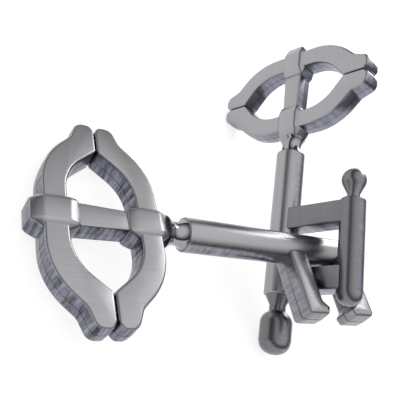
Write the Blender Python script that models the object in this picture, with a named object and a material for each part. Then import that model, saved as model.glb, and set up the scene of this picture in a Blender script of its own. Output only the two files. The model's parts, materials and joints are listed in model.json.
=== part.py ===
"""Two interlocked metal keys, a disentanglement puzzle, lying on a table.

The prong key's shaft passes through the window of the post key, and the post key's lower
arm passes through the slot of the prong key. Each key is drawn in its own frame: the bow's
centre is the origin, the shaft runs down -Y and the bow's flat faces look along +-Z.
"""

import math

import bmesh
import bpy
from mathutils import Euler, Matrix, Vector

MM = 0.001

# ---- Driving sizes, in millimetres and degrees ------------------------------------------
# Bow: a ring of two C-shaped halves that meet at a V-groove between two ears.
BOW_HALF_HEIGHT = 11.1  # from the bow's centre to the ring's outer edge at the collar
BOW_BAND = 4.5  # width of the ring's band at the collar
BOW_THICK = 5.4
BOW_CORNER_X = 11.7  # where the flat top and the 45-degree flank would meet
BOW_CORNER_R = 13.9
BOW_INNER_CORNER_BACK = 2.4  # how far the inner corner lies behind the outer one
BOW_INNER_CORNER_R = 9.8
BOW_OPENING_X = 15.0  # pointed end of the lens-shaped opening
EAR_ROOT_X = 17.8
EAR_ROOT_R = 3.0
EAR_END_X = 21.6
EAR_TOP_Y = 3.55  # where the ear's top and its end would meet
EAR_TOP_R = 2.0
EAR_BOTTOM_Y = 0.8
EAR_BOTTOM_R = 1.2
EAR_VALLEY_X = 20.4  # bottom of the notch between two ears
BOW_EDGE_R = 0.55  # rounding of the ring's edges and of the groove

# Collars: faceted blocks that the ring's halves enter from both sides.
COLLAR_HALF_WIDTH = 3.7
COLLAR_LIP = 0.1  # how far a collar's side face stands out round the ring
COLLAR_FACE_HALF_WIDTH = 2.4
COLLAR_RISE = 0.6  # front facet above the ring's face
COLLAR_FLARE_IN = 2.0  # length of the taper towards the crossbar
COLLAR_FLARE_OUT = 2.5  # length of the taper away from the bow
COLLAR_CAP_HALF_WIDTH = 2.1
COLLAR_CAP_HALF_THICK = 2.1
COLLAR_STEP = 0.25  # step from a collar's end down to the crossbar

CROSSBAR_HALF_WIDTH_OUTER = 2.45
CROSSBAR_HALF_WIDTH_INNER = 2.1
CROSSBAR_THICK = 4.5
CROSSBAR_EDGE = 0.35

# Neck and shaft, the same on both keys.
NECK_LENGTH = 3.7
NECK_END_R = 3.0
NECK_WAIST_R = 2.35
SHAFT_D = 7.0
SHAFT_CHAMFER = 0.45

# Prong key.
NECK_TO_PRONG = 24.9
PRONG_WIDTH = 4.6
SLOT_WIDTH = 9.2  # between the prongs, wide enough for the other key's shaft
SLOT_MOUTH = 6.2  # between the toes, wide enough for the other key's post only
PRONG_REACH = 16.8  # from the shaft's axis to the prongs' ends
PRONG_THICK = 6.1
TOE_LENGTH = 2.9
PRONG_CORNER_R = 1.0
PRONG_EDGE_R = 0.9
PRONG_KEY_TAIL = 1.0  # shaft beyond the far prong

# Post key.
NECK_TO_ARM = 15.5
ARM_WIDTH = 5.3
WINDOW_HEIGHT = 9.7  # between the two arms
POST_OFFSET = 17.9  # from the shaft's axis to the post's
POST_D = 5.7
ARM_THICK = 5.2
ARM_EDGE_R = 0.4
POST_ABOVE_ARM = 0.5
POST_BELOW_ARM = 0.4
POST_TOP_CHAMFER = 0.5
BALL_R = 2.8
BALL_HEIGHT = 4.65  # of the ball's centre above the post
BALL_STEM_R = 1.42
BALL_STEM_LENGTH = 1.25
BALL_FOOT_R = 1.85
POST_KEY_TAIL = 0.4  # shaft beyond the lower arm
FINIAL_CONE = 2.2  # length of the cone below the shaft
FINIAL_NECK_R = 1.9
FINIAL_NECK_LENGTH = 1.4
FINIAL_R = 3.7
FINIAL_SHOULDER = 2.8
FINIAL_BODY = 4.0
FINIAL_DOME = 3.0

# How the keys lie. The prong key's axis crosses the post key's window at the hook point.
PRONG_KEY_TURN = (-12.39, 6.65, -176.74)
POST_KEY_TURN = (72.14, -72.90, 17.14)
SHAFT_TO_SHAFT_GAP = 0.9
SHAFT_TO_ARM_GAP = 0.8  # less where the window is too low to leave it

ROUND_STEPS = 48
ARC_STEP = 7.5  # degrees of an outline's arc per edge

# ---- Sizes that follow from them --------------------------------------------------------
SHAFT_R = SHAFT_D / 2
POST_R = POST_D / 2
BOW_INNER_HEIGHT = BOW_HALF_HEIGHT - BOW_BAND
COLLAR_IN_Y = BOW_INNER_HEIGHT - COLLAR_FLARE_IN
COLLAR_OUT_Y = BOW_HALF_HEIGHT + COLLAR_FLARE_OUT
NECK_END_Y = -COLLAR_OUT_Y - NECK_LENGTH

NEAR_PRONG_TOP = NECK_END_Y - NECK_TO_PRONG
NEAR_PRONG_END = NEAR_PRONG_TOP - PRONG_WIDTH
FAR_PRONG_TOP = NEAR_PRONG_END - SLOT_WIDTH
FAR_PRONG_END = FAR_PRONG_TOP - PRONG_WIDTH
PRONG_SHAFT_END = FAR_PRONG_END - PRONG_KEY_TAIL
SLOT_CENTRE_Y = (NEAR_PRONG_END + FAR_PRONG_TOP) / 2

UPPER_ARM_TOP = NECK_END_Y - NECK_TO_ARM
UPPER_ARM_END = UPPER_ARM_TOP - ARM_WIDTH
LOWER_ARM_TOP = UPPER_ARM_END - WINDOW_HEIGHT
LOWER_ARM_END = LOWER_ARM_TOP - ARM_WIDTH
POST_TOP = UPPER_ARM_TOP + POST_ABOVE_ARM
POST_END = LOWER_ARM_END - POST_BELOW_ARM
POST_SHAFT_END = LOWER_ARM_END - POST_KEY_TAIL

SHAFT_LIFT = min(SHAFT_TO_ARM_GAP, (WINDOW_HEIGHT - SHAFT_D) / 2)
HOOK_POINT = Vector((SHAFT_D + SHAFT_TO_SHAFT_GAP, LOWER_ARM_TOP + SHAFT_R + SHAFT_LIFT, 0))


# ---- Scene and materials ----------------------------------------------------------------
def clear_scene():
    for obj in list(bpy.data.objects):
        bpy.data.objects.remove(obj, do_unlink=True)


def metal(name, colour, roughness):
    material = bpy.data.materials.new(name)
    material.use_nodes = True
    shader = material.node_tree.nodes["Principled BSDF"]
    shader.inputs["Base Color"].default_value = (*colour, 1)
    shader.inputs["Roughness"].default_value = roughness
    shader.inputs["Metallic"].default_value = 1
    material.diffuse_color = (*colour, 1)
    return material


# ---- Outlines ---------------------------------------------------------------------------
def rounded(corners):
    """The closed outline through corners (x, y, radius), each sharp corner cut by its arc."""
    points = []
    for index, (x, y, radius) in enumerate(corners):
        here = Vector((x, y))
        if radius == 0:
            points.append(here)
            continue
        before = (Vector(corners[index - 1][:2]) - here).normalized()
        after = (Vector(corners[(index + 1) % len(corners)][:2]) - here).normalized()
        half_angle = before.angle(after) / 2
        centre = here + (before + after).normalized() * (radius / math.sin(half_angle))
        start = here + before * (radius / math.tan(half_angle)) - centre
        turn = math.pi - 2 * half_angle
        if before.cross(after) > 0:
            turn = -turn
        steps = max(2, round(abs(math.degrees(turn)) / ARC_STEP))
        points += [centre + Matrix.Rotation(turn * i / steps, 2) @ start for i in range(steps + 1)]
    return [(point.x, point.y) for point in points]


def half_bow_outline():
    """One C-shaped half of the ring, on the +Y side, from ear to ear."""
    inner_corner_x = BOW_CORNER_X - BOW_INNER_CORNER_BACK
    ear_root_y = BOW_CORNER_X + BOW_HALF_HEIGHT - EAR_ROOT_X
    right = [
        (BOW_OPENING_X, 0, 0),
        (inner_corner_x, BOW_INNER_HEIGHT, BOW_INNER_CORNER_R),
    ]
    left = [(-x, y, r) for x, y, r in reversed(right)]
    outer_right = [
        (BOW_CORNER_X, BOW_HALF_HEIGHT, BOW_CORNER_R),
        (EAR_ROOT_X, ear_root_y, EAR_ROOT_R),
        (EAR_END_X, EAR_TOP_Y, EAR_TOP_R),
        (EAR_END_X, EAR_BOTTOM_Y, EAR_BOTTOM_R),
        (EAR_VALLEY_X, 0, 0),
    ]
    outer_left = [(-x, y, r) for x, y, r in reversed(outer_right)]
    return rounded(right + left + outer_left + outer_right)


def prong_outline(top, end, toe_side):
    """A prong towards -X, whose toe points to toe_side (+1 up the shaft, -1 down it)."""
    root_x = -chord(SHAFT_R, PRONG_THICK)
    toe = (SLOT_WIDTH - SLOT_MOUTH) / 2
    plain, slot_side = (top, end) if toe_side < 0 else (end, top)
    return rounded(
        [
            (root_x, plain, 0),
            (-PRONG_REACH, plain, PRONG_CORNER_R),
            (-PRONG_REACH, slot_side + toe_side * toe * 0.5, PRONG_CORNER_R / 2),
            (-PRONG_REACH + toe, slot_side + toe_side * toe, PRONG_CORNER_R / 2),
            (-PRONG_REACH + TOE_LENGTH, slot_side, PRONG_CORNER_R),
            (root_x, slot_side, 0),
        ]
    )


def chord(radius, thickness):
    """How far from a round bar's axis its section is as wide as the thickness."""
    return math.sqrt(max(radius**2 - (thickness / 2) ** 2, 0))


# ---- Meshes -----------------------------------------------------------------------------
def extruded(outline, thickness):
    """The outline in XY, thickened evenly to both sides of Z = 0."""
    bm = bmesh.new()
    face = bm.faces.new([bm.verts.new((x, y, -thickness / 2)) for x, y in outline])
    grown = bmesh.ops.extrude_face_region(bm, geom=[face])
    moved = [item for item in grown["geom"] if isinstance(item, bmesh.types.BMVert)]
    bmesh.ops.translate(bm, verts=moved, vec=(0, 0, thickness))
    bmesh.ops.recalc_face_normals(bm, faces=bm.faces)
    return bm


def box(low, high):
    bm = bmesh.new()
    bmesh.ops.create_cube(bm, size=1)
    for vert in bm.verts:
        vert.co = [low[i] + (vert.co[i] + 0.5) * (high[i] - low[i]) for i in range(3)]
    return bm


def round_edges(bm, radius, segments=2, keep=lambda edge: False):
    """Bevels each edge sharper than 30 degrees, except those that keep() names."""
    sharp = [
        edge
        for edge in bm.edges
        if edge.calc_face_angle(0) > math.radians(30) and not keep(edge)
    ]
    bmesh.ops.bevel(bm, geom=sharp, offset=radius, segments=segments, profile=0.5, affect="EDGES")


def cut_away(bm, point, normal):
    """Removes what lies beyond the plane, on the side of its normal, and closes the cut."""
    everything = bm.verts[:] + bm.edges[:] + bm.faces[:]
    cut = bmesh.ops.bisect_plane(
        bm, geom=everything, dist=1e-5, plane_co=point, plane_no=normal, clear_outer=True
    )
    edges = [item for item in cut["geom_cut"] if isinstance(item, bmesh.types.BMEdge)]
    bmesh.ops.edgenet_fill(bm, edges=edges)
    bmesh.ops.recalc_face_normals(bm, faces=bm.faces)


def hull(points):
    """The convex block with these corners."""
    bm = bmesh.new()
    for point in points:
        bm.verts.new(point)
    bmesh.ops.convex_hull(bm, input=bm.verts)
    bmesh.ops.dissolve_limit(bm, angle_limit=math.radians(0.5), verts=bm.verts, edges=bm.edges)
    return bm


def lathed(profile, x=0):
    """A solid of revolution about the line through X = x along Y; profile holds (radius, y)."""
    bm = bmesh.new()
    verts = [bm.verts.new((radius, y, 0)) for radius, y in profile]
    edges = [bm.edges.new(pair) for pair in zip(verts, verts[1:])]
    bmesh.ops.spin(
        bm, geom=verts + edges, cent=(0, 0, 0), axis=(0, 1, 0), angle=math.tau,
        steps=ROUND_STEPS, use_merge=True,
    )
    bmesh.ops.remove_doubles(bm, verts=bm.verts, dist=1e-4)
    bmesh.ops.recalc_face_normals(bm, faces=bm.faces)
    bmesh.ops.translate(bm, verts=bm.verts, vec=(x, 0, 0))
    return bm


def arc_profile(radius, centre_y, start, end, steps, centre_r=0.0):
    """Points (radius, y) on an arc, its angles in degrees measured from the radial direction."""
    angles = [math.radians(start + (end - start) * i / steps) for i in range(steps + 1)]
    return [(centre_r + radius * math.cos(a), centre_y + radius * math.sin(a)) for a in angles]


# ---- Sub-parts that both keys have ------------------------------------------------------
def bow_arc(half, side):
    """A quarter of the ring: half is +1 for the outer half and -1 for the inner one."""
    bm = extruded(half_bow_outline(), BOW_THICK)
    round_edges(bm, BOW_EDGE_R)
    cut_away(bm, (side * COLLAR_HALF_WIDTH, 0, 0), (-side, 0, 0))
    if half < 0:
        bmesh.ops.scale(bm, vec=(1, -1, 1), verts=bm.verts)
        bmesh.ops.recalc_face_normals(bm, faces=bm.faces)
    return bm


def collar(half, cap_half_width, cap_half_thick):
    """A faceted collar; its cap is the end that faces away from the bow's centre."""
    face_z = BOW_THICK / 2 + COLLAR_RISE
    side_z = BOW_THICK / 2 + COLLAR_LIP
    in_half_width = collar_end_half_width(half)
    corners = []
    for x, y, z in (
        (COLLAR_FACE_HALF_WIDTH, BOW_INNER_HEIGHT, face_z),
        (COLLAR_FACE_HALF_WIDTH, BOW_HALF_HEIGHT, face_z),
        (COLLAR_HALF_WIDTH, BOW_INNER_HEIGHT - COLLAR_LIP, side_z),
        (COLLAR_HALF_WIDTH, BOW_HALF_HEIGHT + COLLAR_LIP, side_z),
        (in_half_width, COLLAR_IN_Y, CROSSBAR_THICK / 2 + COLLAR_STEP),
        (cap_half_width, COLLAR_OUT_Y, cap_half_thick),
    ):
        corners += [(sx * x, half * y, sz * z) for sx in (1, -1) for sz in (1, -1)]
    return hull(corners)


def collar_end_half_width(half):
    width = CROSSBAR_HALF_WIDTH_OUTER if half > 0 else CROSSBAR_HALF_WIDTH_INNER
    return width + COLLAR_STEP


def crossbar():
    """The bar between the collars, which narrows towards the shaft."""
    bm = box((-1, -COLLAR_IN_Y, -CROSSBAR_THICK / 2), (1, COLLAR_IN_Y, CROSSBAR_THICK / 2))
    for vert in bm.verts:
        vert.co.x *= CROSSBAR_HALF_WIDTH_OUTER if vert.co.y > 0 else CROSSBAR_HALF_WIDTH_INNER
    lies_on_end = lambda edge: abs(edge.verts[0].co.y - edge.verts[1].co.y) < COLLAR_IN_Y
    round_edges(bm, CROSSBAR_EDGE, segments=1, keep=lies_on_end)
    return bm


def neck():
    """An hourglass waist: one arc from the inner collar to the shaft."""
    sag = NECK_END_R - NECK_WAIST_R
    half = NECK_LENGTH / 2
    radius = (half**2 + sag**2) / (2 * sag)
    spread = math.degrees(math.asin(half / radius))
    waist = arc_profile(radius, 0, 180 - spread, 180 + spread, 8, NECK_WAIST_R + radius)
    middle = -COLLAR_OUT_Y - half
    profile = [(r, middle + y) for r, y in waist]
    return lathed([(0, profile[0][1]), *profile, (0, profile[-1][1])])


def shaft(end):
    flat = SHAFT_R - SHAFT_CHAMFER
    return lathed(
        [
            (0, NECK_END_Y),
            (flat, NECK_END_Y),
            *arc_profile(SHAFT_CHAMFER, NECK_END_Y - SHAFT_CHAMFER, 90, 0, 3, flat),
            *arc_profile(SHAFT_CHAMFER, end + SHAFT_CHAMFER, 0, -90, 3, flat),
            (0, end),
        ]
    )


# ---- Sub-parts of the prong key ---------------------------------------------------------
def prong(top, end, toe_side):
    bm = extruded(prong_outline(top, end, toe_side), PRONG_THICK)
    root_x = -chord(SHAFT_R, PRONG_THICK)
    on_root = lambda edge: all(abs(vert.co.x - root_x) < 1e-4 for vert in edge.verts)
    round_edges(bm, PRONG_EDGE_R, keep=on_root)
    return bm


# ---- Sub-parts of the post key ----------------------------------------------------------
def arm(top, end):
    start_x = chord(SHAFT_R, ARM_THICK)
    end_x = POST_OFFSET - chord(POST_R, ARM_THICK)
    bm = box((start_x, end, -ARM_THICK / 2), (end_x, top, ARM_THICK / 2))
    on_ends = lambda edge: abs(edge.verts[0].co.x - edge.verts[1].co.x) < 1e-4
    round_edges(bm, ARM_EDGE_R, keep=on_ends)
    return bm


def post():
    """A round bar with a chamfered top and a domed lower end."""
    flat = POST_R - POST_TOP_CHAMFER
    return lathed(
        [
            (0, POST_TOP),
            (flat, POST_TOP),
            (POST_R, POST_TOP - POST_TOP_CHAMFER),
            *arc_profile(POST_R, POST_END, 0, -90, 8),
        ],
        x=POST_OFFSET,
    )


def post_ball():
    """A ball that tapers into a stem, which spreads into a foot on the post."""
    return lathed(
        [
            (0, POST_TOP),
            (BALL_FOOT_R, POST_TOP),
            (BALL_STEM_R, POST_TOP + 0.5 * BALL_STEM_LENGTH),
            (BALL_STEM_R, POST_TOP + BALL_STEM_LENGTH),
            *arc_profile(BALL_R, POST_TOP + BALL_HEIGHT, -27, 90, 12),
        ],
        x=POST_OFFSET,
    )


def tip_finial():
    """A cone below the shaft, a thin neck, and a capsule with a rounded shoulder and a dome."""
    neck_top = POST_SHAFT_END - FINIAL_CONE
    neck_end = neck_top - FINIAL_NECK_LENGTH
    body_top = neck_end - FINIAL_SHOULDER
    body_end = body_top - FINIAL_BODY
    dome = [(r, body_end + y * FINIAL_DOME / FINIAL_R) for r, y in arc_profile(FINIAL_R, 0, 0, -90, 10)]
    return lathed(
        [
            (0, POST_SHAFT_END),
            (SHAFT_R - SHAFT_CHAMFER, POST_SHAFT_END),
            (FINIAL_NECK_R, neck_top),
            (FINIAL_NECK_R, neck_end),
            (FINIAL_R * 0.89, neck_end - 0.55 * FINIAL_SHOULDER),
            (FINIAL_R * 0.97, neck_end - 0.75 * FINIAL_SHOULDER),
            (FINIAL_R, body_top),
            *dome,
        ]
    )


# ---- Assembly ---------------------------------------------------------------------------
def add_object(name, bm, key, material):
    """A node in its key's frame, whose empty stands at the key's pivot."""
    bmesh.ops.scale(bm, vec=(MM, MM, MM), verts=bm.verts)
    mesh = bpy.data.meshes.new(name)
    bm.to_mesh(mesh)
    bm.free()
    mesh.materials.append(material)
    mesh.shade_smooth()
    mesh.set_sharp_from_angle(angle=math.radians(30))
    obj = bpy.data.objects.new(name, mesh)
    bpy.context.collection.objects.link(obj)
    obj.parent = key
    obj.location = -Vector(key["pivot_mm"]) * MM
    return obj


def add_key(name, turn, pivot):
    """The empty that carries a key. Its origin is the point pivot of the key's own frame."""
    empty = bpy.data.objects.new(name, None)
    bpy.context.collection.objects.link(empty)
    empty.rotation_euler = Euler([math.radians(angle) for angle in turn])
    empty["pivot_mm"] = tuple(pivot)
    return empty


def mill_flats(bar, key, side, centre_x, distance, spans):
    """Flats on a round bar where arms or prongs stand on it, one for each (top, end) span."""
    reach = 2 * SHAFT_D
    for index, (top, end) in enumerate(spans):
        near, far = sorted((centre_x + side * distance, centre_x + side * reach))
        cutter_mesh = box((near, end, -reach), (far, top, reach))
        cutter = add_object(f"{bar.name}_flat_{index}", cutter_mesh, key, bar.data.materials[0])
        cutter.hide_render = True
        cutter.display_type = "WIRE"
        cut = bar.modifiers.new(f"flat_{index}", "BOOLEAN")
        cut.operation = "DIFFERENCE"
        cut.solver = "EXACT"
        cut.object = cutter


def add_common_parts(key, finish):
    name = key.name
    for half, half_name in ((1, "outer"), (-1, "inner")):
        for side, side_name in ((-1, "left"), (1, "right")):
            arc_name = f"{name}_bow_{half_name}_{side_name}"
            add_object(arc_name, bow_arc(half, side), key, finish["bow"])
    cap = (COLLAR_CAP_HALF_WIDTH, COLLAR_CAP_HALF_THICK)
    add_object(f"{name}_outer_collar", collar(1, *cap), key, finish["collar"])
    add_object(f"{name}_inner_collar", collar(-1, NECK_END_R, NECK_END_R), key, finish["collar"])
    add_object(f"{name}_crossbar", crossbar(), key, finish["bow"])
    add_object(f"{name}_neck", neck(), key, finish["polished"])


def add_prong_key(finish):
    key = add_key("prong_key", PRONG_KEY_TURN, (0, SLOT_CENTRE_Y, 0))
    add_common_parts(key, finish)
    bar = add_object("prong_key_shaft", shaft(PRONG_SHAFT_END), key, finish["shaft"])
    spans = ((NEAR_PRONG_TOP, NEAR_PRONG_END), (FAR_PRONG_TOP, FAR_PRONG_END))
    mill_flats(bar, key, -1, 0, chord(SHAFT_R, PRONG_THICK), spans)
    for name, (top, end), toe_side in zip(("near", "far"), spans, (-1, 1)):
        add_object(f"prong_key_{name}_prong", prong(top, end, toe_side), key, finish["bit"])
    return key


def add_post_key(finish):
    key = add_key("post_key", POST_KEY_TURN, HOOK_POINT)
    add_common_parts(key, finish)
    spans = ((UPPER_ARM_TOP, UPPER_ARM_END), (LOWER_ARM_TOP, LOWER_ARM_END))
    bar = add_object("post_key_shaft", shaft(POST_SHAFT_END), key, finish["shaft"])
    mill_flats(bar, key, 1, 0, chord(SHAFT_R, ARM_THICK), spans)
    upright = add_object("post_key_post", post(), key, finish["shaft"])
    mill_flats(upright, key, -1, POST_OFFSET, chord(POST_R, ARM_THICK), spans)
    for name, (top, end) in zip(("upper", "lower"), spans):
        add_object(f"post_key_{name}_arm", arm(top, end), key, finish["bit"])
    add_object("post_key_post_ball", post_ball(), key, finish["polished"])
    add_object("post_key_tip_finial", tip_finial(), key, finish["shaft"])
    return key


def world_points():
    bpy.context.view_layer.update()
    for obj in bpy.context.scene.objects:
        if obj.type == "MESH" and not obj.hide_render:
            for vert in obj.data.vertices:
                yield obj.matrix_world @ vert.co


def stand_on_table(keys):
    """Moves the pair so that its lowest point is at Z = 0 and it is centred over the origin."""
    low = Vector([min(values) for values in zip(*world_points())])
    high = Vector([max(values) for values in zip(*world_points())])
    shift = Vector((-(low.x + high.x) / 2, -(low.y + high.y) / 2, -low.z))
    for key in keys:
        key.location += shift


def main():
    clear_scene()
    finish = {
        "bow": metal("satin_nickel_bow", (0.36, 0.36, 0.37), 0.34),
        "collar": metal("satin_nickel_collar", (0.33, 0.33, 0.34), 0.30),
        "shaft": metal("brushed_nickel_round", (0.30, 0.30, 0.31), 0.28),
        "bit": metal("brushed_nickel_bit", (0.33, 0.33, 0.34), 0.36),
        "polished": metal("polished_nickel", (0.45, 0.45, 0.46), 0.12),
    }
    keys = [add_prong_key(finish), add_post_key(finish)]
    stand_on_table(keys)
    for key in keys:
        print(key.name, "at", tuple(round(value, 6) for value in key.location))


main()
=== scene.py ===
"""Finished look of the two interlocked keys: fine casting meshes, plated metal and a studio.

Each solid of the frame gets one casting piece of the same place and size, with the rounded
edges, parting line and turned surfaces that the plated metal shows. Pieces are modelled in
millimetres in their key's own frame: the bow's centre is the origin, the shaft runs down -Y
and the bow's flat faces look along +-Z.
"""

import json
import math
from types import SimpleNamespace

import bmesh
import bpy
from mathutils import Euler, Matrix, Vector


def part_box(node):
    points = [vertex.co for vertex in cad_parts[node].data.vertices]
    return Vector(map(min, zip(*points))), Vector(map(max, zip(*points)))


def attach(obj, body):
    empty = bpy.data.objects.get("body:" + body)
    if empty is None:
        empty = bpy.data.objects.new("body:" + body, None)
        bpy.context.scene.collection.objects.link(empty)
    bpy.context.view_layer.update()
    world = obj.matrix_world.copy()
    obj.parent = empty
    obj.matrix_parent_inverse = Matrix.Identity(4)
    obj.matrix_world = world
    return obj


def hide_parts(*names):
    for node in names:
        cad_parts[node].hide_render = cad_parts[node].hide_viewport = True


bl_info = {
    "name": "Interlocked Keys Puzzle",
    "version": (1, 0, 0),
    "blender": (4, 5, 0),
    "location": "3D View > Sidebar > Puzzle",
    "description": "Builds the castings, finishes and studio of a two-key disentanglement puzzle",
    "category": "Object",
}

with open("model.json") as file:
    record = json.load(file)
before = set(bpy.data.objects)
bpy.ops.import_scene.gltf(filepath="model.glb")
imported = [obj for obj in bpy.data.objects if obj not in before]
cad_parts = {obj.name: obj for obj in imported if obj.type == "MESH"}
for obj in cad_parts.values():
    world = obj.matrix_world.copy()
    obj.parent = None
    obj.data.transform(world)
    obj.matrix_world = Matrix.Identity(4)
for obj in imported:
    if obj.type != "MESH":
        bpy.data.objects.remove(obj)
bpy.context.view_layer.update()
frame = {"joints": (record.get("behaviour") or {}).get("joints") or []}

MM = 0.001
ROUND_STEPS = 96
ARC_STEP = 3.0  # degrees of an outline's arc per edge
EDGE_SEGMENTS = 4
CUT_DISTANCE = 1e-5  # a vertex this near a cut, in millimetres, counts as on it
WELD_DISTANCE = 1e-4  # vertices of a turned solid this near each other are one
SHARP_ANGLE = 35  # degrees between faces from which an edge is drawn sharp
SAME_PLACE = 0.0012  # a piece's box may differ this much, in metres, from its solid's

BURIED = 0.4  # how far a section reaches into its neighbour, so that no seam opens
NECK_FLARE = 0.6  # the neck's end widens by this much per millimetre inside the collar
ARC_START = 0.3  # a ring quarter starts this far outside its collar's front facet
DOME_STEP = 0.12  # the finial's dome is this much smaller in radius than its body
DOME_STEP_HEIGHT = 0.03
SHOULDER_STEPS = 16
SHOULDER_POWER = 2.4  # how full the finial's shoulder is
SHOULDER_BEND = 0.25  # share of the shoulder that is a straight cone
SHOULDER_SLOPE = 1.996  # slope of that cone, which meets the full part at the bend

# A face counts as a front face where it looks along the key's Z by at least FRONT, and turns
# into a side wall, which gets painted shade, over the next WALL_SHADE_FADE.
FRONT = 0.75
WALL_SHADE_FADE = 0.6

CLOUDS_PER_METRE = 110.0  # clouds in the satin plate, about 9 mm across
WAVES_PER_METRE = 420.0  # waves in the polished plate, about 2.4 mm across

FLOOR_HALF_SIZE = 4.0  # metres
STRIP_PLACE = (-0.4, 0.4, 0.27)  # metres
STRIP_AIM = (0.02, 0.02, 0.01)
STRIP_SIZE = (0.2, 0.5)
CAMERA_PLACE = (0.07258, -0.07606, 0.08216)  # metres
CAMERA_TURN = (35.891, -43.219, 83.803)  # degrees
CAMERA_CLIP = 0.005  # metres; the camera stands close to the keys
SENSOR_WIDTH = 36  # millimetres


# ---- Sizes and colours ------------------------------------------------------------------
def linear(hex_value):
    """An sRGB hex value as the linear colour that shaders take."""
    channels = [int(hex_value[i : i + 2], 16) / 255 for i in (1, 3, 5)]
    return (*[c / 12.92 if c < 0.04045 else ((c + 0.055) / 1.055) ** 2.4 for c in channels], 1)


def length(name, description, millimetres):
    """A size, given here in millimetres and kept in metres."""
    return bpy.props.FloatProperty(
        name=name, description=description, default=millimetres * MM, min=0.01 * MM,
        precision=5, unit="LENGTH",
    )


def colour(name, description, hex_value):
    """A colour, given here as an sRGB hex value."""
    return bpy.props.FloatVectorProperty(
        name=name, description=description, default=linear(hex_value), size=4, min=0, max=1,
        subtype="COLOR",
    )


class BowSizes(bpy.types.PropertyGroup):
    """The crossed lens-shaped bow, the same on both keys."""

    half_height: length("Half height", "Bow's centre to the ring's outer edge", 11.1)
    band: length("Band", "Width of the ring's band at the collar", 4.5)
    thickness: length("Thickness", "Thickness of the ring", 5.4)
    corner_x: length("Corner", "Where the flat top and the flank would meet", 11.7)
    corner_r: length("Outer corner radius", "Rounding of the outer corner", 13.9)
    inner_back: length("Inner corner back", "Inner corner behind the outer one", 2.4)
    inner_r: length("Inner corner radius", "Rounding of the inner corner", 9.8)
    opening_x: length("Opening end", "Pointed end of the opening", 15.0)
    ear_root_x: length("Ear root", "Where the ear leaves the flank", 17.8)
    ear_root_r: length("Ear root radius", "Hollow at the ear's root", 3.0)
    ear_end_x: length("Ear end", "Bow's centre to the ears' ends", 21.6)
    ear_top_y: length("Ear top", "Where the ear's top and its end would meet", 3.55)
    ear_top_r: length("Ear top radius", "Rounding of the ear's top", 2.0)
    ear_bottom_y: length("Ear bottom", "Where the ear's end and the notch would meet", 0.8)
    ear_bottom_r: length("Ear bottom radius", "Rounding towards the notch", 1.2)
    ear_valley_x: length("Ear valley", "Bottom of the notch between two ears", 20.4)
    edge_r: length("Edge rounding", "Rounding of the ring's edges", 0.55)
    draft: length("Draft", "How far the sides lean out towards the parting line", 0.12)
    parting: length("Parting line", "Height and half width of the parting line's ridge", 0.06)


class CollarSizes(bpy.types.PropertyGroup):
    """The faceted collars, the crossbar between them and the neck below."""

    half_width: length("Half width", "Shaft's axis to the collar's side", 3.65)
    half_side: length("Side half height", "Half height of the collar's side", 1.96)
    face_half_width: length("Facet half width", "Half width of the front facet", 2.35)
    lip: length("Lip", "How far the side stands out round the ring", 0.1)
    rise: length("Rise", "Front facet above the ring's face", 0.6)
    flare_in: length("Inner taper", "Length of the taper to the crossbar", 2.0)
    flare_out: length("Outer taper", "Length of the taper away from the bow", 2.5)
    cap_half_width: length("Cap half width", "Half width of the outer end", 2.1)
    cap_half_thick: length("Cap half thickness", "Half thickness of the outer end", 2.1)
    step: length("Step", "Step from a collar's end down to the crossbar", 0.25)
    edge_r: length("Edge rounding", "Rounding between the facets", 0.38)
    bar_outer: length("Crossbar outer half width", "Half width at the outer collar", 2.45)
    bar_inner: length("Crossbar inner half width", "Half width at the inner collar", 2.1)
    bar_thickness: length("Crossbar thickness", "Thickness of the crossbar", 4.5)
    bar_edge_r: length("Crossbar edge rounding", "Rounding of the crossbar's edges", 0.35)
    neck_length: length("Neck length", "Collar to shaft", 3.7)
    neck_end_r: length("Neck end radius", "Radius where the neck meets its neighbours", 3.05)
    neck_waist_r: length("Neck waist radius", "Radius at the neck's waist", 2.35)


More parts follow.
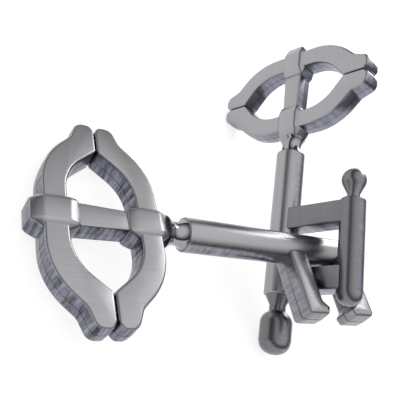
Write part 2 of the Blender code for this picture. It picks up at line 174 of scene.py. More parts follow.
class BitSizes(bpy.types.PropertyGroup):
    """Shafts, prongs, arms, post and finial."""

    shaft_d: length("Shaft diameter", "Diameter of both shafts", 7.0)
    shaft_round: length("Shaft rim", "Rounding of a shaft's rim", 0.45)
    neck_to_prong: length("Neck to prong", "Neck's end to the near prong", 24.9)
    prong_width: length("Prong width", "Width of a prong along the shaft", 4.6)
    slot_width: length("Slot width", "Gap between the prongs", 9.2)
    slot_mouth: length("Slot mouth", "Gap between the prongs' toes", 6.2)
    prong_reach: length("Prong reach", "Shaft's axis to the prongs' ends", 16.8)
    prong_thick: length("Prong thickness", "Thickness of a prong", 6.1)
    toe_length: length("Toe length", "Length of a prong's toe", 2.9)
    prong_corner_r: length("Prong corner radius", "Rounding of a prong's outline", 1.0)
    prong_edge_r: length("Prong edge rounding", "Rounding of a prong's long edges", 0.9)
    prong_tail: length("Prong key tail", "Shaft beyond the far prong", 1.0)
    neck_to_arm: length("Neck to arm", "Neck's end to the upper arm", 15.5)
    arm_width: length("Arm width", "Width of an arm along the shaft", 5.3)
    window_height: length("Window height", "Gap between the arms", 9.7)
    post_offset: length("Post offset", "Shaft's axis to the post's axis", 17.9)
    post_d: length("Post diameter", "Diameter of the post", 5.7)
    arm_thick: length("Arm thickness", "Thickness of an arm", 5.2)
    arm_edge_r: length("Arm edge rounding", "Rounding of an arm's edges", 0.4)
    post_above: length("Post above arm", "Post above the upper arm", 0.5)
    post_below: length("Post below arm", "Post below the lower arm", 0.4)
    post_top_r: length("Post top rounding", "Rounding of the post's top", 0.5)
    ball_r: length("Ball radius", "Radius of the ball on the post", 2.8)
    ball_height: length("Ball height", "Ball's centre above the post", 4.65)
    ball_stem_r: length("Ball stem radius", "Radius of the stem under the ball", 1.42)
    ball_stem: length("Ball stem length", "From the post to the ball's taper", 1.25)
    ball_foot_r: length("Ball foot radius", "Radius of the stem's foot on the post", 1.85)
    post_tail: length("Post key tail", "Shaft beyond the lower arm", 0.4)
    finial_cone: length("Finial cone", "Length of the cone below the shaft", 2.2)
    finial_neck_r: length("Finial neck radius", "Radius of the finial's neck", 1.9)
    finial_neck: length("Finial neck length", "Length of the finial's neck", 1.4)
    finial_r: length("Finial radius", "Radius of the finial's body", 3.7)
    finial_shoulder: length("Finial shoulder", "Length of the finial's shoulder", 2.8)
    finial_body: length("Finial body", "Length of the finial's straight part", 4.0)
    finial_dome: length("Finial dome", "Height of the finial's dome", 3.0)
    shaft_gap: length("Gap between shafts", "Other key's shaft to this one, in the window", 0.9)
    arm_gap: length("Gap to the arm", "Other key's shaft to the lower arm", 0.8)


class FinishSettings(bpy.types.PropertyGroup):
    """Colours and polish of the plated metal, and the shade painted on it."""

    satin: colour("Satin nickel", "Brushed faces", "#A3A2A5")
    satin_dark: colour("Satin shade", "Darker strokes of the brushed faces", "#98979A")
    # Painted shade: the three wall colours darken the side walls, in patches that vary at random.
    wall: colour("Wall", "Side walls that the brush doesn't reach", "#9092A0")
    wall_shade_dark: colour("Wall shade", "Darker patches of the prong key's side walls", "#222226")
    wall_shade_pale: colour("Pale wall shade", "Darker patches of the post key's side walls", "#6C6D76")
    # Painted shade: a darker copy of the satin nickel, for the post key's arms, post, ball and finial.
    deep: colour("Deep nickel", "Post key's arms, post, ball and finial, less buffed", "#7C7B7E")
    shaded_dark: colour("Deep shade", "Darker strokes of the deep nickel", "#6E6D70")
    bright: colour("Polished nickel", "Necks", "#98979A")
    # Real strokes are finer than this. They are drawn this coarse so that they show.
    brush_width: length("Stroke width", "Distance between brush strokes", 0.11)
    brush_length: length("Stroke length", "Length of a brush stroke", 12.0)
    patch_width: length("Patch width", "Width of a darker patch on a side wall", 0.8)


class StageSettings(bpy.types.PropertyGroup):
    """Camera, floor and lights."""

    floor: colour("Floor", "Matt board over a light table", "#A8A8AA")
    glow: bpy.props.FloatProperty(
        name="Floor glow", description="Light that the table sends up through the board",
        default=0.78, min=0,
    )
    sky: colour("Sky", "Bright upper part of the studio", "#F4F3F3")
    dusk: colour("Dusk", "Dark walls around the table", "#26262A")
    sky_strength: bpy.props.FloatProperty(
        name="Sky strength", description="Brightness of the sky at the zenith", default=1.4, min=0
    )
    lens: bpy.props.FloatProperty(
        name="Lens", description="Focal length on a 36 mm sensor", default=52.04, min=10,
        unit="CAMERA",
    )
    strip_power: bpy.props.FloatProperty(
        name="Strip light", description="Power of the long soft box", default=1.5, min=0,
        unit="POWER",
    )


# ---- Frames of the two keys -------------------------------------------------------------
TURNS = {"prong_key": (-12.39, 6.65, -176.74), "post_key": (72.14, -72.90, 17.14)}
BODIES = ("prong_key", "post_key")


def in_millimetres(group):
    """The group's sizes in millimetres, without the noise of single precision."""
    return SimpleNamespace(
        **{name: round(getattr(group, name) / MM, 5) for name in group.__annotations__}
    )


def sizes():
    """The sizes of the bow, of the collars and of the bits, in millimetres."""
    scene = bpy.context.scene
    groups = (scene.puzzle_bow, scene.puzzle_collar, scene.puzzle_bit)
    return [in_millimetres(group) for group in groups]


def turn_of(key):
    """How a key is turned as it lies."""
    return Euler([math.radians(angle) for angle in TURNS[key]])


def levels():
    """Heights along the shafts that follow from the sizes, as a dictionary."""
    bow, collar, bit = sizes()
    cap = bow.half_height + collar.flare_out
    neck_end = -cap - collar.neck_length
    near_top = neck_end - bit.neck_to_prong
    near_end = near_top - bit.prong_width
    far_top = near_end - bit.slot_width
    far_end = far_top - bit.prong_width
    upper_top = neck_end - bit.neck_to_arm
    upper_end = upper_top - bit.arm_width
    lower_top = upper_end - bit.window_height
    lower_end = lower_top - bit.arm_width
    return {
        "cap": cap,
        "neck_end": neck_end,
        "near": (near_top, near_end),
        "far": (far_top, far_end),
        "prong_shaft_end": far_end - bit.prong_tail,
        "slot_centre": (near_end + far_top) / 2,
        "upper": (upper_top, upper_end),
        "lower": (lower_top, lower_end),
        "post_top": upper_top + bit.post_above,
        "post_end": lower_end - bit.post_below,
        "post_shaft_end": lower_end - bit.post_tail,
    }


def key_matrix(key):
    """From a key's own millimetres to the world's metres. Both keys turn about the hinge point."""
    hinge = Vector(frame["joints"][0]["pos_m"])
    _, _, bit = sizes()
    level = levels()
    if key == "prong_key":
        pivot = Vector((0, level["slot_centre"], 0))
    else:
        lift = min(bit.arm_gap, (bit.window_height - bit.shaft_d) / 2)
        hook_y = level["lower"][0] + bit.shaft_d / 2 + lift
        pivot = Vector((bit.shaft_d + bit.shaft_gap, hook_y, 0))
    turn = turn_of(key).to_matrix().to_4x4()
    return Matrix.Translation(hinge) @ turn @ Matrix.Scale(MM, 4) @ Matrix.Translation(-pivot)


# ---- Materials --------------------------------------------------------------------------
def add_node(tree, kind, links=(), **settings):
    """Adds a node, sets its properties or sockets, and links (input, source socket) pairs."""
    node = tree.nodes.new(kind)
    for name, value in settings.items():
        if hasattr(node, name):
            setattr(node, name, value)
        else:
            node.inputs[name.replace("_", " ")].default_value = value
    for name, source in links:
        tree.links.new(source, node.inputs[name])
    return node


def new_material(name, base, roughness):
    """An empty metal material and its shader."""
    material = bpy.data.materials.new(name)
    material.use_nodes = True
    shader = material.node_tree.nodes["Principled BSDF"]
    shader.inputs["Base Color"].default_value = base
    shader.inputs["Metallic"].default_value = 1.0
    shader.inputs["Roughness"].default_value = roughness
    return material, shader


def brushed_nickel(key, deep=False):
    """Satin nickel plate, brushed along the key on its faces, with painted shade on its walls.

    Fine strokes blur reflections across them. Each piece's own "wall" attribute is up to 1 on a
    side wall, where the colour turns to the painted wall shade, in patches whose tone varies at
    random, and 0 on a brushed face.
    The shaded copy is the same plate in darker tones, which paint the shade of its pieces.
    """
    name = f"{'deep' if deep else 'brushed'}_satin_nickel_{key}"
    if name in bpy.data.materials:
        return bpy.data.materials[name]
    finish = bpy.context.scene.puzzle_finish
    # The shaded copy paints shade with darker tones of the same nickel.
    tones = (finish.shaded_dark, finish.deep) if deep else (finish.satin_dark, finish.satin)
    # Painted shade for the side walls: near black on the prong key, greyer on the post key.
    patch = finish.wall_shade_dark if key == "prong_key" else finish.wall_shade_pale
    material, shader = new_material(name, tones[1], 0.3)
    tree = material.node_tree
    place = add_node(tree, "ShaderNodeTexCoord")
    turn = turn_of(key)
    along = add_node(
        tree, "ShaderNodeMapping", [("Vector", place.outputs["Object"])],
        vector_type="TEXTURE", Rotation=turn,
        Scale=(finish.brush_width, finish.brush_length, finish.brush_width),
    )
    strokes = add_node(
        tree, "ShaderNodeTexNoise", [("Vector", along.outputs["Vector"])],
        Scale=1.0, Detail=3.0, Roughness=0.6,
    )
    # The patches of the painted wall shade run through the thickness, which is the key's Z.
    across = add_node(
        tree, "ShaderNodeMapping", [("Vector", place.outputs["Object"])],
        vector_type="TEXTURE", Rotation=turn,
        Scale=(finish.patch_width, finish.patch_width, 8 * finish.patch_width),
    )
    patches = add_node(
        tree, "ShaderNodeTexNoise", [("Vector", across.outputs["Vector"])],
        Scale=1.0, Detail=5.0, Roughness=0.65,
    )
    # Handling leaves wide, faint clouds in the plate.
    clouds = add_node(
        tree, "ShaderNodeTexNoise", [("Vector", place.outputs["Object"])],
        Scale=CLOUDS_PER_METRE, Detail=2.0, Roughness=0.5,
    )
    stroke_tone = add_node(
        tree, "ShaderNodeMapRange", [("Value", strokes.outputs["Fac"])],
        From_Min=0.3, From_Max=0.7, To_Min=0.0, To_Max=1.0,
    )
    patch_tone = add_node(
        tree, "ShaderNodeMapRange", [("Value", patches.outputs["Fac"])],
        From_Min=0.32, From_Max=0.66, To_Min=0.0, To_Max=1.0,
    )
    face = add_node(
        tree, "ShaderNodeMix", [("Factor", stroke_tone.outputs["Result"])], data_type="RGBA"
    )
    face.inputs["A"].default_value = tones[0]
    face.inputs["B"].default_value = tones[1]
    wall = add_node(
        tree, "ShaderNodeMix", [("Factor", patch_tone.outputs["Result"])], data_type="RGBA"
    )
    wall.inputs["A"].default_value = patch
    wall.inputs["B"].default_value = finish.wall
    # The wall attribute says how much of the painted wall shade covers the brushed colour.
    wall_shade_share = add_node(tree, "ShaderNodeAttribute", attribute_name="wall")
    plate_colour = add_node(
        tree, "ShaderNodeMix", [("Factor", wall_shade_share.outputs["Fac"])], data_type="RGBA"
    )
    tree.links.new(face.outputs["Result"], plate_colour.inputs["A"])
    tree.links.new(wall.outputs["Result"], plate_colour.inputs["B"])
    rough_strokes = add_node(
        tree, "ShaderNodeMapRange", [("Value", strokes.outputs["Fac"])],
        From_Min=0.3, From_Max=0.7, To_Min=0.27, To_Max=0.31,
    )
    rough_clouds = add_node(
        tree, "ShaderNodeMapRange", [("Value", clouds.outputs["Fac"])],
        From_Min=0.3, From_Max=0.7, To_Min=-0.02, To_Max=0.03,
    )
    roughness = add_node(
        tree, "ShaderNodeMath",
        [(0, rough_strokes.outputs["Result"]), (1, rough_clouds.outputs["Result"])],
        operation="ADD",
    )
    relief = add_node(
        tree, "ShaderNodeBump", [("Height", strokes.outputs["Fac"])],
        Strength=0.05, Distance=0.01 * MM,
    )
    tree.links.new(plate_colour.outputs["Result"], shader.inputs["Base Color"])
    tree.links.new(roughness.outputs["Value"], shader.inputs["Roughness"])
    tree.links.new(relief.outputs["Normal"], shader.inputs["Normal"])
    return material


def polished_nickel():
    """Nickel plate that the brush can't reach into: clear reflections, with soft waviness."""
    name = "polished_nickel"
    if name in bpy.data.materials:
        return bpy.data.materials[name]
    finish = bpy.context.scene.puzzle_finish
    material, shader = new_material(name, finish.bright, 0.1)
    tree = material.node_tree
    place = add_node(tree, "ShaderNodeTexCoord")
    waves = add_node(
        tree, "ShaderNodeTexNoise", [("Vector", place.outputs["Object"])],
        Scale=WAVES_PER_METRE, Detail=1.0,
    )
    gloss = add_node(
        tree, "ShaderNodeMapRange", [("Value", waves.outputs["Fac"])],
        From_Min=0.3, From_Max=0.7, To_Min=0.1, To_Max=0.18,
    )
    relief = add_node(
        tree, "ShaderNodeBump", [("Height", waves.outputs["Fac"])],
        Strength=0.15, Distance=0.1 * MM,
    )
    tree.links.new(gloss.outputs["Result"], shader.inputs["Roughness"])
    tree.links.new(relief.outputs["Normal"], shader.inputs["Normal"])
    return material


def matt_floor():
    """Matt white board lit from below: no gloss, and hardly any shadow."""
    stage = bpy.context.scene.puzzle_stage
    material, shader = new_material("matt_board_on_light_table", stage.floor, 0.9)
    shader.inputs["Metallic"].default_value = 0.0
    shader.inputs["Specular IOR Level"].default_value = 0.0
    shader.inputs["Emission Color"].default_value = (1.0, 1.0, 1.0, 1.0)
    shader.inputs["Emission Strength"].default_value = stage.glow
    return material


def studio_sky():
    """A pale horizon, a dark band above it and a bright top, set by the world's own Z."""
    stage = bpy.context.scene.puzzle_stage
    world = bpy.data.worlds.new("studio")
    world.use_nodes = True
    tree = world.node_tree
    place = add_node(tree, "ShaderNodeTexCoord")
    parts = add_node(tree, "ShaderNodeSeparateXYZ", [("Vector", place.outputs["Generated"])])
    height = add_node(
        tree, "ShaderNodeMapRange", [("Value", parts.outputs["Z"])],
        interpolation_type="SMOOTHSTEP", From_Min=0.25, From_Max=0.95, To_Min=0.0, To_Max=1.0,
    )
    shade = add_node(tree, "ShaderNodeMix", [("Factor", height.outputs["Result"])], data_type="RGBA")
    shade.inputs["A"].default_value = stage.dusk
    shade.inputs["B"].default_value = stage.sky
    above = add_node(
        tree, "ShaderNodeMapRange", [("Value", parts.outputs["Z"])],
        interpolation_type="SMOOTHSTEP", From_Min=0.1, From_Max=0.18, To_Min=0.0, To_Max=1.0,
    )
    whole = add_node(tree, "ShaderNodeMix", [("Factor", above.outputs["Result"])], data_type="RGBA")
    whole.inputs["A"].default_value = stage.sky
    tree.links.new(shade.outputs["Result"], whole.inputs["B"])
    tree.links.new(whole.outputs["Result"], tree.nodes["Background"].inputs["Color"])
    tree.nodes["Background"].inputs["Strength"].default_value = stage.sky_strength
    return world


# ---- Mesh helpers -----------------------------------------------------------------------
def rounded(corners):
    """The closed outline through corners (x, y, radius), each corner cut by its arc."""
    points = []
    for index, (x, y, radius) in enumerate(corners):
        here = Vector((x, y))
        if radius == 0:
            points.append(here)
            continue
        before = (Vector(corners[index - 1][:2]) - here).normalized()
        after = (Vector(corners[(index + 1) % len(corners)][:2]) - here).normalized()
        half_angle = before.angle(after) / 2
        centre = here + (before + after).normalized() * (radius / math.sin(half_angle))
        start = here + before * (radius / math.tan(half_angle)) - centre
        turn = math.pi - 2 * half_angle
        if before.cross(after) > 0:
            turn = -turn
        steps = max(3, round(abs(math.degrees(turn)) / ARC_STEP))
        points += [centre + Matrix.Rotation(turn * i / steps, 2) @ start for i in range(steps + 1)]
    return points


def outward(outline):
    """The outline's mitred normals, in its plane."""
    count = len(outline)
    area = sum(outline[i - 1].cross(outline[i]) for i in range(count))
    sides = [(outline[(i + 1) % count] - outline[i]).normalized() for i in range(count)]
    normals = [Vector((side.y, -side.x)) * math.copysign(1, area) for side in sides]
    pairs = zip([normals[-1], *normals], normals)
    return [(before + after) / (1 + before.dot(after)) for before, after in pairs]


def plate(outline, thickness, draft, parting):
    """The outline thickened to both sides of Z = 0, with leaning sides and a parting line."""
    bm = bmesh.new()
    normals = outward(outline)
    rings = []
    for z, out in (
        (-thickness / 2, 0), (-parting, draft), (0, draft + parting / 3), (parting, draft),
        (thickness / 2, 0),
    ):
        moved = [point + normal * out for point, normal in zip(outline, normals)]
        rings.append([bm.verts.new((point.x, point.y, z)) for point in moved])
    for lower, upper in zip(rings, rings[1:]):
        for index in range(len(outline)):
            bm.faces.new((lower[index - 1], lower[index], upper[index], upper[index - 1]))
    bm.faces.new(rings[0])
    bm.faces.new(rings[-1])
    bmesh.ops.recalc_face_normals(bm, faces=bm.faces)
    return bm


def round_edges(bm, radius, segments=EDGE_SEGMENTS, least=30):
    """Rounds each edge where the faces turn by more than the least angle, in degrees."""
    sharp = [edge for edge in bm.edges if edge.calc_face_angle(0) > math.radians(least)]
    bmesh.ops.bevel(
        bm, geom=sharp, offset=radius, segments=segments, profile=0.5, affect="EDGES", material=-1
    )


def cut_away(bm, point, normal):
    """Removes what lies beyond the plane, on the side of its normal, and closes the cut."""
    everything = bm.verts[:] + bm.edges[:] + bm.faces[:]
    cut = bmesh.ops.bisect_plane(
        bm, geom=everything, dist=CUT_DISTANCE, plane_co=point, plane_no=normal,
        clear_outer=True,
    )
    edges = [item for item in cut["geom_cut"] if isinstance(item, bmesh.types.BMEdge)]
    bmesh.ops.edgenet_fill(bm, edges=edges)
    bmesh.ops.recalc_face_normals(bm, faces=bm.faces)


def lathed(profile, x=0):
    """A turned solid about the line through X = x along Y; profile holds (radius, y)."""
    bm = bmesh.new()
    verts = [bm.verts.new((radius, y, 0)) for radius, y in profile]
    edges = [bm.edges.new(pair) for pair in zip(verts, verts[1:])]
    bmesh.ops.spin(
        bm, geom=verts + edges, cent=(0, 0, 0), axis=(0, 1, 0), angle=math.tau,
        steps=ROUND_STEPS, use_merge=True,
    )
    bmesh.ops.remove_doubles(bm, verts=bm.verts, dist=WELD_DISTANCE)
    bmesh.ops.recalc_face_normals(bm, faces=bm.faces)
    bmesh.ops.translate(bm, verts=bm.verts, vec=(x, 0, 0))
    return bm


def arc(radius, centre_y, start, end, steps, centre_r=0.0):
    """Points (radius, y) on an arc, its angles in degrees measured from the radial direction."""
    angles = [math.radians(start + (end - start) * i / steps) for i in range(steps + 1)]
    return [(centre_r + radius * math.cos(a), centre_y + radius * math.sin(a)) for a in angles]


def paint_wall_shade(mesh, key, most):
    """Stores on each corner how far its face is a side wall, and so its painted shade: most on a wall,
    0 on a front face.
    """
    front = turn_of(key).to_matrix() @ Vector((0, 0, 1))
    wall = mesh.attributes.new("wall", "FLOAT", "CORNER")
    normals = mesh.corner_normals
    for polygon in mesh.polygons:
        for loop in polygon.loop_indices:
            facing = abs(normals[loop].vector.dot(front))
            wall.data[loop].value = most * min(max((FRONT - facing) / WALL_SHADE_FADE, 0), 1)


def finish_piece(node, bm, key, material, walls=0.0):
    """Turns the bmesh into the piece that stands for a node, and checks that it sits there."""
    bmesh.ops.transform(bm, matrix=key_matrix(key), verts=bm.verts)
    mesh = bpy.data.meshes.new(f"{node}_casting")
    bm.to_mesh(mesh)
    bm.free()
    mesh.materials.append(material)
    mesh.shade_smooth()
    mesh.set_sharp_from_angle(angle=math.radians(SHARP_ANGLE))
    # Paints shade on the side walls, as much as walls says.
    paint_wall_shade(mesh, key, walls)
    piece = bpy.data.objects.new(f"{node}_casting", mesh)
    bpy.context.scene.collection.objects.link(piece)
    for corner, wanted in zip((min, max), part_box(node)):
        for axis in range(3):
            reached = corner(vert.co[axis] for vert in mesh.vertices)
            if abs(reached - wanted[axis]) > SAME_PLACE:
                raise RuntimeError(f"{node}: the piece is {reached - wanted[axis]:.4f} m off its solid")
    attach(piece, key)
    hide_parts(node)
    return piece


# ---- Pieces -----------------------------------------------------------------------------
def half_bow_outline(bow):
    """One C-shaped half of the ring, on the +Y side, from ear to ear."""
    inner_y = bow.half_height - bow.band
    right = [(bow.opening_x, 0, 0), (bow.corner_x - bow.inner_back, inner_y, bow.inner_r)]
    outer_right = [
        (bow.corner_x, bow.half_height, bow.corner_r),
        (bow.ear_root_x, bow.corner_x + bow.half_height - bow.ear_root_x, bow.ear_root_r),
        (bow.ear_end_x, bow.ear_top_y, bow.ear_top_r),
        (bow.ear_end_x, bow.ear_bottom_y, bow.ear_bottom_r),
        (bow.ear_valley_x, 0, 0),
    ]
    left = [(-x, y, r) for x, y, r in reversed(right)]
    outer_left = [(-x, y, r) for x, y, r in reversed(outer_right)]
    return rounded(right + left + outer_left + outer_right)


def bow_arc(half, side):
    """A ring quarter, on the outer (+1) or inner (-1) half and on the key's +X or -X side."""
    bow, collar, _ = sizes()
    bm = plate(half_bow_outline(bow), bow.thickness, bow.draft, bow.parting)
    round_edges(bm, bow.edge_r)
    # The halves then touch at the parting line only, and the groove between them is deep.
    bmesh.ops.translate(bm, verts=bm.verts, vec=(0, bow.draft, 0))
    cut_away(bm, (side * (collar.face_half_width + ARC_START), 0, 0), (-side, 0, 0))
    if half < 0:
        bmesh.ops.scale(bm, vec=(1, -1, 1), verts=bm.verts)
        bmesh.ops.recalc_face_normals(bm, faces=bm.faces)
    return bm


def collar_block(half):
    """A faceted collar: a flat front, wide chamfers that the ring comes out of, and two tapers."""
    bow, collar, _ = sizes()
    inner_y = bow.half_height - bow.band
    face_z = bow.thickness / 2 + collar.rise
    bar = collar.bar_outer if half > 0 else collar.bar_inner
    bm = bmesh.new()
    for x, y, z in (
        (collar.face_half_width, inner_y, face_z),
        (collar.face_half_width, bow.half_height, face_z),
        (collar.half_width, inner_y - collar.lip, collar.half_side),
        (collar.half_width, bow.half_height + collar.lip, collar.half_side),
        (bar + collar.step, inner_y - collar.flare_in, collar.bar_thickness / 2 + collar.step),
        (collar.cap_half_width, levels()["cap"], collar.cap_half_thick),
    ):
        for sx in (1, -1):
            for sz in (1, -1):
                bm.verts.new((sx * x, half * y, sz * z))
    bmesh.ops.convex_hull(bm, input=bm.verts)
    bmesh.ops.dissolve_limit(bm, angle_limit=math.radians(0.5), verts=bm.verts, edges=bm.edges)
    round_edges(bm, collar.edge_r, segments=3, least=8)
    return bm


def crossbar():
    """The bar between the collars, which narrows towards the shaft."""
    bow, collar, _ = sizes()
    end = bow.half_height - bow.band - collar.flare_in + BURIED
    outline = [
        (collar.bar_outer, end), (-collar.bar_outer, end),
        (-collar.bar_inner, -end), (collar.bar_inner, -end),
    ]
    bm = plate([Vector(point) for point in outline], collar.bar_thickness, bow.draft, bow.parting)
    round_edges(bm, collar.bar_edge_r)
    return bm


def neck():
    """An hourglass waist, whose flared ends run into the inner collar and meet the shaft's rim."""
    _, collar, _ = sizes()
    sag = collar.neck_end_r - collar.neck_waist_r
    half = collar.neck_length / 2
    radius = (half**2 + sag**2) / (2 * sag)
    spread = math.degrees(math.asin(half / radius))
    waist = arc(radius, 0, 180 - spread, 180 + spread, 20, collar.neck_waist_r + radius)
    middle = -levels()["cap"] - half
    profile = [(r, middle + y) for r, y in waist]
    top = profile[0][1] + BURIED
    end = profile[-1][1] - BURIED
    flare = collar.neck_end_r + BURIED * NECK_FLARE
    return lathed([(0, top), (flare, top), *profile, (profile[-1][0], end), (0, end)])


def shaft(end):
    """A round bar from the neck down to its end, with rounded rims."""
    _, _, bit = sizes()
    start = levels()["neck_end"]
    flat = bit.shaft_d / 2 - bit.shaft_round
    return lathed(
        [
            (0, start),
            (flat, start),
            *arc(bit.shaft_round, start - bit.shaft_round, 90, 0, 8, flat),
            *arc(bit.shaft_round, end + bit.shaft_round, 0, -90, 8, flat),
            (0, end),
        ]
    )


def prong(top, end, toe_side):
    """A prong towards -X, rooted inside the shaft, whose toe points up (+1) or down (-1) it."""
    bow, _, bit = sizes()
    root = -bit.shaft_d / 4
    reach = -bit.prong_reach
    toe = (bit.slot_width - bit.slot_mouth) / 2
    plain, slot_side = (top, end) if toe_side < 0 else (end, top)
    outline = rounded(
        [
            (root, plain, 0),
            (reach, plain, bit.prong_corner_r),
            (reach, slot_side + toe_side * toe * 0.5, bit.prong_corner_r / 2),
            (reach + toe, slot_side + toe_side * toe, bit.prong_corner_r / 2),
            (reach + bit.toe_length, slot_side, bit.prong_corner_r),
            (root, slot_side, 0),
        ]
    )
    bm = plate(outline, bit.prong_thick, 1.5 * bow.draft, 1.5 * bow.parting)
    round_edges(bm, bit.prong_edge_r)
    return bm


def arm(top, end):
    """An arm between the shaft and the post, rooted inside both."""
    bow, _, bit = sizes()
    root = bit.shaft_d / 4
    outline = [(root, top), (root, end), (bit.post_offset, end), (bit.post_offset, top)]
    bm = plate([Vector(point) for point in outline], bit.arm_thick, bow.draft / 4, bow.parting / 2)
    round_edges(bm, bit.arm_edge_r)
    return bm


def post():
    """The post beside the shaft, flat on top and round at its lower end."""
    _, _, bit = sizes()
    level = levels()
    radius = bit.post_d / 2
    return lathed(
        [
            (0, level["post_top"]),
            *arc(bit.post_top_r, level["post_top"] - bit.post_top_r, 90, 0, 6, radius - bit.post_top_r),
            *arc(radius, level["post_end"], 0, -90, 24),
        ],
        x=bit.post_offset,
    )


def post_ball():
    """A ball that tapers into a stem, which spreads into a foot on the post."""
    _, _, bit = sizes()
    top = levels()["post_top"]
    foot = bit.ball_foot_r - bit.ball_stem_r
    hollow = arc(foot, top + foot, 270, 180, 8, bit.ball_foot_r)
    return lathed(
        [
            (0, top - BURIED),
            (bit.ball_foot_r, top - BURIED),
            *hollow,
            (bit.ball_stem_r, top + bit.ball_stem),
            *arc(bit.ball_r, top + bit.ball_height, -27, 90, 40),
        ],
        x=bit.post_offset,
    )


def tip_finial():
    """A cone below the shaft, a thin neck, and a capsule with a rounded shoulder and a dome."""
    _, _, bit = sizes()
    start = levels()["post_shaft_end"]
    neck_top = start - bit.finial_cone
    neck_end = neck_top - bit.finial_neck
    body_top = neck_end - bit.finial_shoulder
    body_end = body_top - bit.finial_body
    rim = bit.shaft_d / 2 - bit.shaft_round
    slope = (rim - bit.finial_neck_r) / bit.finial_cone
    stretch = bit.finial_dome / bit.finial_r
    # The dome is a little smaller than the body, so a fine step runs round its start.
    dome_r = bit.finial_r - DOME_STEP
    dome = [(r, body_end + y * stretch) for r, y in arc(dome_r, 0, 0, -90, 32)]
    return lathed(
        [
            (0, start + BURIED),
            (rim + slope * BURIED, start + BURIED),
            (bit.finial_neck_r, neck_top),
            (bit.finial_neck_r, neck_end),
            *shoulder(bit.finial_neck_r, neck_end, bit.finial_r, body_top),
            (bit.finial_r, body_end + DOME_STEP_HEIGHT),
            *dome,
        ]
    )


def shoulder(thin_r, start, full_r, end):
    """Points (radius, y) of an S from the thin neck to the full body."""
    points = []
    for step in range(1, SHOULDER_STEPS + 1):
        share = step / SHOULDER_STEPS
        if share > SHOULDER_BEND:
            swell = 1 - (1 - share) ** SHOULDER_POWER
        else:
            swell = share * SHOULDER_SLOPE
        points.append((thin_r + (full_r - thin_r) * swell, start + (end - start) * share))
    return points


# ---- Operators --------------------------------------------------------------------------
class PUZZLE_OT_bow_arcs(bpy.types.Operator):
    """The ring quarters of both bows"""

    bl_idname = "puzzle.bow_arcs"
    bl_label = "Bow Arcs"

    def execute(self, context):
        for key in BODIES:
            for half, half_name in ((1, "outer"), (-1, "inner")):
                for side, side_name in ((-1, "left"), (1, "right")):
                    node = f"{key}_bow_{half_name}_{side_name}"
                    finish_piece(
                        node, bow_arc(half, side), key, brushed_nickel(key), walls=1.0
                    )
        return {"FINISHED"}


class PUZZLE_OT_collars(bpy.types.Operator):
    """The faceted collars and the crossbars between them"""

    bl_idname = "puzzle.collars"
    bl_label = "Collars and Crossbars"

    def execute(self, context):
        for key in BODIES:
            metal = brushed_nickel(key)
            for half, half_name in ((1, "outer"), (-1, "inner")):
                node = f"{key}_{half_name}_collar"
                finish_piece(node, collar_block(half), key, metal, walls=1.0)
            finish_piece(f"{key}_crossbar", crossbar(), key, metal, walls=1.0)
        return {"FINISHED"}


class PUZZLE_OT_shafts(bpy.types.Operator):
    """The necks and the shafts"""

    bl_idname = "puzzle.shafts"
    bl_label = "Necks and Shafts"

    def execute(self, context):
        level = levels()
        for key, end in zip(BODIES, (level["prong_shaft_end"], level["post_shaft_end"])):
            finish_piece(f"{key}_neck", neck(), key, polished_nickel())
            metal = brushed_nickel(key)
            finish_piece(f"{key}_shaft", shaft(end), key, metal, walls=0.8)
        return {"FINISHED"}


class PUZZLE_OT_prongs(bpy.types.Operator):
    """The two toed prongs"""

    bl_idname = "puzzle.prongs"
    bl_label = "Prongs"

    def execute(self, context):
        for name, toe_side in (("near", -1), ("far", 1)):
            bm = prong(*levels()[name], toe_side)
            node = f"prong_key_{name}_prong"
            finish_piece(node, bm, "prong_key", brushed_nickel("prong_key"), walls=0.5)
        return {"FINISHED"}


class PUZZLE_OT_window(bpy.types.Operator):
    """The arms, the post and its ball"""

    bl_idname = "puzzle.window"
    bl_label = "Arms and Post"

    def execute(self, context):
        # The arms, post and ball get the shaded copy of the nickel, which paints their shade.
        metal = brushed_nickel("post_key", deep=True)
        for name in ("upper", "lower"):
            bm = arm(*levels()[name])
            finish_piece(f"post_key_{name}_arm", bm, "post_key", metal, walls=1.0)
        finish_piece("post_key_post", post(), "post_key", metal, walls=0.8)
        finish_piece("post_key_post_ball", post_ball(), "post_key", metal, walls=0.8)
        return {"FINISHED"}


class PUZZLE_OT_finial(bpy.types.Operator):
    """The finial at the post key's tip"""

    bl_idname = "puzzle.finial"
    bl_label = "Tip Finial"

    def execute(self, context):
        # The finial gets the shaded copy of the nickel, which paints its shade.
        metal = brushed_nickel("post_key", deep=True)
        finish_piece(
            "post_key_tip_finial", tip_finial(), "post_key", metal, walls=0.8
        )
        return {"FINISHED"}


def soft_box(name, place, aim, width, height, power):
    """A rectangular area light at place, facing aim."""
    data = bpy.data.lights.new(name, "AREA")
    data.shape = "RECTANGLE"
    data.size = width
    data.size_y = height
    data.energy = power
    light = bpy.data.objects.new(name, data)
    light.location = place
    light.rotation_euler = (Vector(aim) - Vector(place)).to_track_quat("-Z", "Y").to_euler()
    bpy.context.scene.collection.objects.link(light)


def camera_matrix():
    """Where the camera stands and how it is turned."""
    turn = Euler([math.radians(angle) for angle in CAMERA_TURN]).to_matrix().to_4x4()
    return Matrix.Translation(CAMERA_PLACE) @ turn


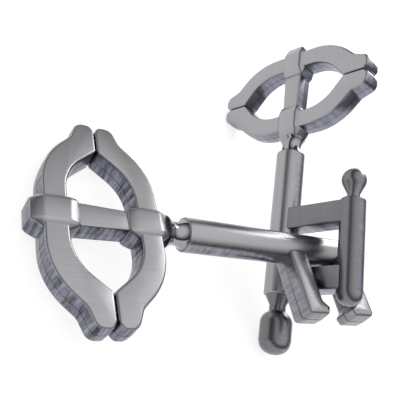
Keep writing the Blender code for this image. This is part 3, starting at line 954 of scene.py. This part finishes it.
class PUZZLE_OT_stage(bpy.types.Operator):
    """The floor, sky, soft box and camera"""

    bl_idname = "puzzle.stage"
    bl_label = "Stage"

    def execute(self, context):
        scene = context.scene
        stage = scene.puzzle_stage
        bm = bmesh.new()
        bmesh.ops.create_grid(bm, x_segments=1, y_segments=1, size=FLOOR_HALF_SIZE)
        mesh = bpy.data.meshes.new("floor")
        bm.to_mesh(mesh)
        bm.free()
        mesh.materials.append(matt_floor())
        floor = bpy.data.objects.new("floor", mesh)
        scene.collection.objects.link(floor)

        scene.world = studio_sky()
        soft_box("strip", STRIP_PLACE, STRIP_AIM, *STRIP_SIZE, stage.strip_power)

        data = bpy.data.cameras.new("camera")
        data.lens = stage.lens
        data.sensor_width = SENSOR_WIDTH
        data.clip_start = CAMERA_CLIP
        camera = bpy.data.objects.new("camera", data)
        camera.matrix_world = camera_matrix()
        scene.collection.objects.link(camera)
        scene.camera = camera
        scene.view_settings.view_transform = "Standard"
        return {"FINISHED"}


class PUZZLE_PT_panel(bpy.types.Panel):
    """Sidebar panel with the puzzle's sizes and build steps"""

    bl_idname = "PUZZLE_PT_panel"
    bl_label = "Interlocked Keys"
    bl_space_type = "VIEW_3D"
    bl_region_type = "UI"
    bl_category = "Puzzle"

    def draw(self, context):
        for attribute in GROUPS:
            group = getattr(context.scene, attribute)
            column = self.layout.column()
            for name in group.__annotations__:
                column.prop(group, name)
        for operator in OPERATORS:
            self.layout.operator(operator.bl_idname)


GROUPS = {
    "puzzle_bow": BowSizes,
    "puzzle_collar": CollarSizes,
    "puzzle_bit": BitSizes,
    "puzzle_finish": FinishSettings,
    "puzzle_stage": StageSettings,
}
OPERATORS = (
    PUZZLE_OT_bow_arcs,
    PUZZLE_OT_collars,
    PUZZLE_OT_shafts,
    PUZZLE_OT_prongs,
    PUZZLE_OT_window,
    PUZZLE_OT_finial,
    PUZZLE_OT_stage,
)
CLASSES = (*GROUPS.values(), *OPERATORS, PUZZLE_PT_panel)


def register():
    """Adds the classes and hangs each size group on the scene."""
    for cls in CLASSES:
        bpy.utils.register_class(cls)
    for name, group in GROUPS.items():
        setattr(bpy.types.Scene, name, bpy.props.PointerProperty(type=group))


def unregister():
    """Takes away what register added."""
    for name in GROUPS:
        delattr(bpy.types.Scene, name)
    for cls in reversed(CLASSES):
        bpy.utils.unregister_class(cls)


def main():
    register()
    for step in (
        bpy.ops.puzzle.bow_arcs,
        bpy.ops.puzzle.collars,
        bpy.ops.puzzle.shafts,
        bpy.ops.puzzle.prongs,
        bpy.ops.puzzle.window,
        bpy.ops.puzzle.finial,
        bpy.ops.puzzle.stage,
    ):
        step()


if __name__ == "__main__":
    main()
